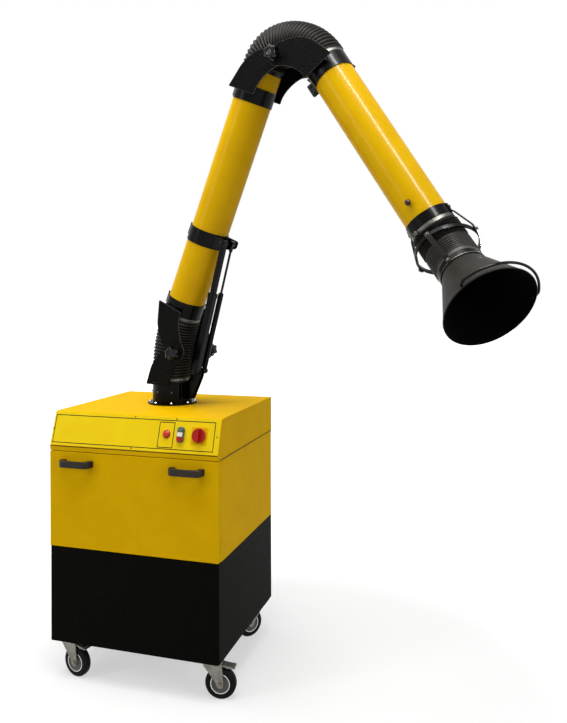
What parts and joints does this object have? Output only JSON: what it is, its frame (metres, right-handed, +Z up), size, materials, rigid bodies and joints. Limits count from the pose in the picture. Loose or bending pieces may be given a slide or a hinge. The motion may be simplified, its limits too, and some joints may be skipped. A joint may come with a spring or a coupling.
{
  "type": "mobile fume extractor with articulated arm",
  "caption": "Mobile filter cabinet on castors with an articulated fume extraction arm: yellow duct tubes, black hoses and yokes, balance struts and a tilting hood.",
  "frame": {"origin": "on the floor under the middle of the whole machine, hood included", "axes": "+Z up, the door and console face -Y, +X to the right as seen from the front"},
  "size_m": [1.911, 0.986, 2.6321],
  "materials": {
    "yellow_paint": "powder-coated sheet steel, semi-gloss",
    "black_coat": "pebbled powder-coated steel, matt",
    "hood_coat": "powder-coated spun sheet, matt",
    "hose_rubber": "ribbed coated-fabric hose, satin",
    "black_plastic": "moulded plastic, fine grain",
    "zinc_steel": "zinc-plated pressed steel",
    "filter_paper": "pleated filter paper in a card frame",
    "red_plastic": "moulded plastic, gloss",
    "green_plastic": "moulded plastic, gloss",
    "lamp_lens": "clear-tinted lens in a bezel",
    "castor_tyre": "black rubber tyre on a moulded centre"
  },
  "bodies": {
    "cabinet": {"base_frame": "black_coat", "exhaust_grille": "black_coat", "upper_cabinet": "yellow_paint", "top_cover": "yellow_paint", "pilot_lamp": "lamp_lens", "button_bezel": "black_plastic", "switch_plate": "yellow_paint", "door_gasket": "hose_rubber", "prefilter": "zinc_steel", "filter_cassette": "filter_paper", "fan_scroll": "zinc_steel", "fan_motor": "black_coat", "base_flange": "black_coat", "castor_plate_front_left": "zinc_steel", "castor_plate_front_right": "zinc_steel", "castor_plate_rear_left": "zinc_steel", "castor_plate_rear_right": "zinc_steel"},
    "door": {"front_door": "yellow_paint", "door_handle_left": "black_plastic", "door_handle_right": "black_plastic"},
    "start_button": {"start_button": "green_plastic"},
    "stop_button": {"stop_button": "red_plastic"},
    "main_switch": {"main_switch": "red_plastic"},
    "fan": {"fan_impeller": "zinc_steel"},
    "turntable": {"swivel_drum": "black_coat", "base_yoke": "black_coat", "shoulder_hose": "hose_rubber"},
    "lower_arm": {"lower_tube": "yellow_paint", "shoulder_yoke": "black_coat", "elbow_lower_yoke": "black_coat", "strut_clamp": "black_coat", "elbow_hose": "hose_rubber"},
    "strut_lower": {"gas_spring_cylinder": "black_coat", "balance_guide": "black_coat"},
    "strut_upper": {"gas_spring_rod": "zinc_steel", "balance_bar": "black_coat"},
    "upper_arm": {"upper_tube": "yellow_paint", "elbow_upper_yoke": "black_coat", "stay_collar": "black_coat", "hood_hose_upper": "hose_rubber"},
    "damper": {"damper": "zinc_steel"},
    "ring": {"gimbal_ring": "black_coat", "hood_hose_lower": "hose_rubber"},
    "hood": {"hood_band": "black_coat", "hood_cone": "hood_coat", "grip_ring": "black_coat"},
    "castor_front_left": {"castor_fork_front_left": "zinc_steel"},
    "wheel_front_left": {"castor_wheel_front_left": "castor_tyre"},
    "pedal_front_left": {"brake_pedal_front_left": "black_plastic"},
    "castor_front_right": {"castor_fork_front_right": "zinc_steel"},
    "wheel_front_right": {"castor_wheel_front_right": "castor_tyre"},
    "pedal_front_right": {"brake_pedal_front_right": "black_plastic"},
    "castor_rear_left": {"castor_fork_rear_left": "zinc_steel"},
    "wheel_rear_left": {"castor_wheel_rear_left": "castor_tyre"},
    "castor_rear_right": {"castor_fork_rear_right": "zinc_steel"},
    "wheel_rear_right": {"castor_wheel_rear_right": "castor_tyre"},
    "shoulder_knob_near": {"shoulder_knob_near": "black_plastic"},
    "shoulder_knob_far": {"shoulder_knob_far": "black_plastic"},
    "elbow_knob_near": {"elbow_knob_near": "black_plastic"},
    "elbow_knob_far": {"elbow_knob_far": "black_plastic"}
  },
  "joints": [
    {"name": "door_hinge", "type": "hinge", "parent": "cabinet", "child": "door", "pos_m": [-0.55481, -0.17033, 0.539], "axis": [1, 0, 0], "range_deg": [0, 90]},
    {"name": "start_press", "type": "slide", "parent": "cabinet", "child": "start_button", "axis": [0, 0.9487, -0.3162], "range_m": [0, 0.004], "stiffness_N_per_m": 900},
    {"name": "stop_press", "type": "slide", "parent": "cabinet", "child": "stop_button", "axis": [0, 0.9487, -0.3162], "range_m": [0, 0.004], "stiffness_N_per_m": 900},
    {"name": "switch_turn", "type": "hinge", "parent": "cabinet", "child": "main_switch", "pos_m": [-0.27281, -0.14833, 1.0173], "axis": [0, 0.9487, -0.3162], "range_deg": [0, 90]},
    {"name": "fan_spin", "type": "hinge", "parent": "cabinet", "child": "fan", "pos_m": [-0.55481, 0.15967, 0], "axis": [0, 0, 1], "continuous": true},
    {"name": "castor_swivel_front_left", "type": "hinge", "parent": "cabinet", "child": "castor_front_left", "pos_m": [-0.86681, -0.11233, 0], "axis": [0, 0, 1], "continuous": true},
    {"name": "wheel_roll_front_left", "type": "hinge", "parent": "castor_front_left", "child": "wheel_front_left", "pos_m": [-0.82769, -0.12065, 0.0613], "axis": [0.2079, 0.9781, 0], "continuous": true},
    {"name": "pedal_press_front_left", "type": "hinge", "parent": "castor_front_left", "child": "pedal_front_left", "pos_m": [-0.82769, -0.12065, 0.1334], "axis": [-0.2079, -0.9781, 0], "range_deg": [0, 15]},
    {"name": "castor_swivel_front_right", "type": "hinge", "parent": "cabinet", "child": "castor_front_right", "pos_m": [-0.24281, -0.11233, 0], "axis": [0, 0, 1], "continuous": true},
    {"name": "wheel_roll_front_right", "type": "hinge", "parent": "castor_front_right", "child": "wheel_front_right", "pos_m": [-0.2032, -0.10676, 0.0613], "axis": [-0.1392, 0.9903, 0], "continuous": true},
    {"name": "pedal_press_front_right", "type": "hinge", "parent": "castor_front_right", "child": "pedal_front_right", "pos_m": [-0.2032, -0.10676, 0.1334], "axis": [0.1392, -0.9903, 0], "range_deg": [0, 15]},
    {"name": "castor_swivel_rear_left", "type": "hinge", "parent": "cabinet", "child": "castor_rear_left", "pos_m": [-0.86681, 0.43167, 0], "axis": [0, 0, 1], "continuous": true},
    {"name": "wheel_roll_rear_left", "type": "hinge", "parent": "castor_rear_left", "child": "wheel_rear_left", "pos_m": [-0.89958, 0.40873, 0.0613], "axis": [0.5736, -0.8192, 0], "continuous": true},
    {"name": "castor_swivel_rear_right", "type": "hinge", "parent": "cabinet", "child": "castor_rear_right", "pos_m": [-0.24281, 0.43167, 0], "axis": [0, 0, 1], "continuous": true},
    {"name": "wheel_roll_rear_right", "type": "hinge", "parent": "castor_rear_right", "child": "wheel_rear_right", "pos_m": [-0.26744, 0.40015, 0.0613], "axis": [0.788, -0.6157, 0], "continuous": true},
    {"name": "arm_swivel", "type": "hinge", "parent": "cabinet", "child": "turntable", "pos_m": [-0.55481, 0.20467, 1.0833], "axis": [0, 0, 1], "continuous": true},
    {"name": "shoulder", "type": "hinge", "parent": "turntable", "child": "lower_arm", "pos_m": [-0.44627, 0.17149, 1.3133], "axis": [0.2924, 0.9563, 0], "range_deg": [-23, 44], "deforming": ["shoulder_hose"]},
    {"name": "strut_hinge", "type": "hinge", "parent": "turntable", "child": "strut_lower", "pos_m": [-0.40371, 0.15848, 1.2303], "axis": [0.2924, 0.9563, 0], "range_deg": [-21.4, 40.41]},
    {"name": "strut_slide", "type": "slide", "parent": "strut_lower", "child": "strut_upper", "axis": [0.2662, -0.0814, 0.9605], "range_m": [-0.05806, 0.0313]},
    {"name": "elbow", "type": "hinge", "parent": "lower_arm", "child": "upper_arm", "pos_m": [0.04267, 0.02201, 2.47802], "axis": [-0.2924, -0.9563, 0], "range_deg": [-30, 70], "deforming": ["elbow_hose"]},
    {"name": "shoulder_knob_turn_near", "type": "hinge", "parent": "lower_arm", "child": "shoulder_knob_near", "pos_m": [-0.44627, 0.17149, 1.3133], "axis": [-0.2924, -0.9563, 0], "continuous": true},
    {"name": "shoulder_knob_turn_far", "type": "hinge", "parent": "lower_arm", "child": "shoulder_knob_far", "pos_m": [-0.44627, 0.17149, 1.3133], "axis": [0.2924, 0.9563, 0], "continuous": true},
    {"name": "elbow_knob_turn_near", "type": "hinge", "parent": "upper_arm", "child": "elbow_knob_near", "pos_m": [0.04267, 0.02201, 2.47802], "axis": [-0.2924, -0.9563, 0], "continuous": true},
    {"name": "elbow_knob_turn_far", "type": "hinge", "parent": "upper_arm", "child": "elbow_knob_far", "pos_m": [0.04267, 0.02201, 2.47802], "axis": [0.2924, 0.9563, 0], "continuous": true},
    {"name": "damper_turn", "type": "hinge", "parent": "upper_arm", "child": "damper", "pos_m": [0.55904, -0.13587, 1.87294], "axis": [0.2924, 0.9563, 0], "range_deg": [0, 90]},
    {"name": "ring_tilt", "type": "hinge", "parent": "upper_arm", "child": "ring", "pos_m": [0.66145, -0.16717, 1.71237], "axis": [-0.7956, 0.2432, -0.5548], "range_deg": [-64, 8], "deforming": ["hood_hose_upper"]},
    {"name": "hood_nod", "type": "hinge", "parent": "ring", "child": "hood", "pos_m": [0.66145, -0.16717, 1.71237], "axis": [0.5073, 0.7682, -0.3906], "range_deg": [-28.5, 47.5], "deforming": ["hood_hose_lower"]}
  ],
  "couplings": [
    {"joint": "strut_hinge", "follows": "shoulder", "ratio": 0.9055},
    {"joint": "strut_slide", "follows": "shoulder", "m_per_rad": -0.073}
  ]
}
